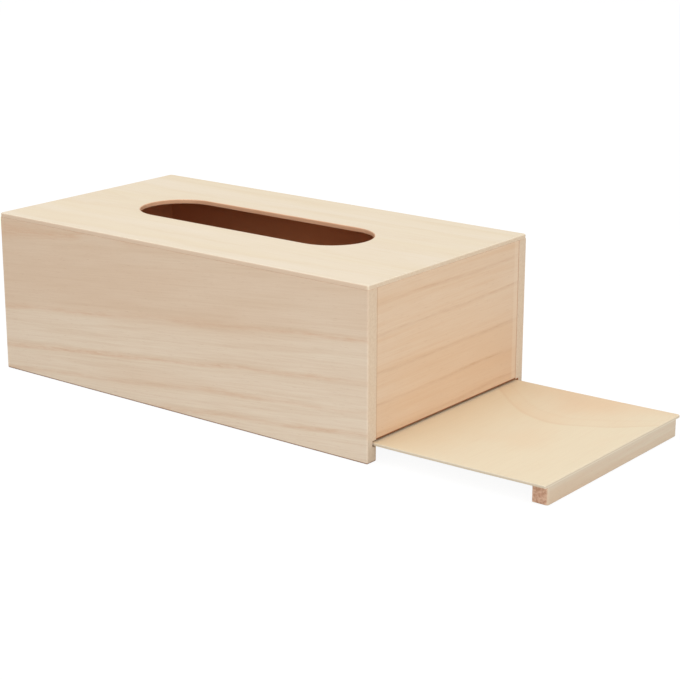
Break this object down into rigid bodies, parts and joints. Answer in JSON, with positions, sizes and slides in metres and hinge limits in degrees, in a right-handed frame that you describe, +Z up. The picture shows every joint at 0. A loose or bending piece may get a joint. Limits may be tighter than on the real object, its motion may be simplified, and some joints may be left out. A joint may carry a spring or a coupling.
{
  "type": "tissue box with sliding base",
  "caption": "Plain unfinished wooden tissue box with a long round-ended slot in its top and a plywood base plate that slides out at one short end.",
  "frame": {"origin": "on the table, at the centre of the whole footprint with the base plate pulled out as stored", "axes": "+X towards the end where the base plate comes out, +Z up, -Y towards the front long wall"},
  "size_m": [0.359, 0.14, 0.091],
  "materials": {
    "solid_wood": "unfinished paulownia boards, sanded",
    "plywood": "unfinished thin plywood, sanded"
  },
  "bodies": {
    "box": {"top_panel": "solid_wood", "front_wall": "solid_wood", "back_wall": "solid_wood", "closed_end_wall": "solid_wood", "drawer_end_wall": "solid_wood"},
    "drawer": {"base_plate": "plywood", "pull_batten": "solid_wood"}
  },
  "joints": [
    {"name": "drawer_slide", "type": "slide", "parent": "box", "child": "drawer", "axis": [1, 0, 0], "range_m": [-0.0989, 0.131]}
  ]
}
